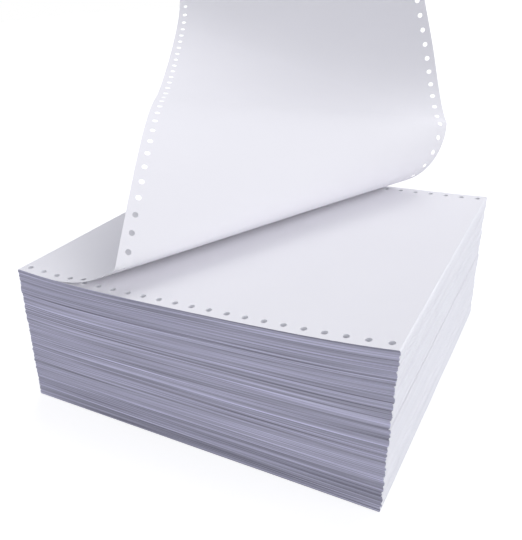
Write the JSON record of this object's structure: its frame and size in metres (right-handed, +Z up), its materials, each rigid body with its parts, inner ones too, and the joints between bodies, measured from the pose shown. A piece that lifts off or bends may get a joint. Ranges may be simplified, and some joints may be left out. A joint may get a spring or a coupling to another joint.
{
  "type": "fanfold continuous form paper",
  "caption": "Plain continuous form paper, folded zigzag into a pack with sprocket holes down both margins, the two top pages peeled back and raised.",
  "frame": {"origin": "middle of the pack's underside, on the surface it stands on", "axes": "+Z up, +X along the web towards the right-hand folds, +Y from the front margin to the back margin"},
  "size_m": [0.3559, 0.3629, 0.4044],
  "materials": {
    "paper": "matt uncoated paper"
  },
  "bodies": {
    "root": {"fanfold_web": "paper"}
  },
  "joints": []
}
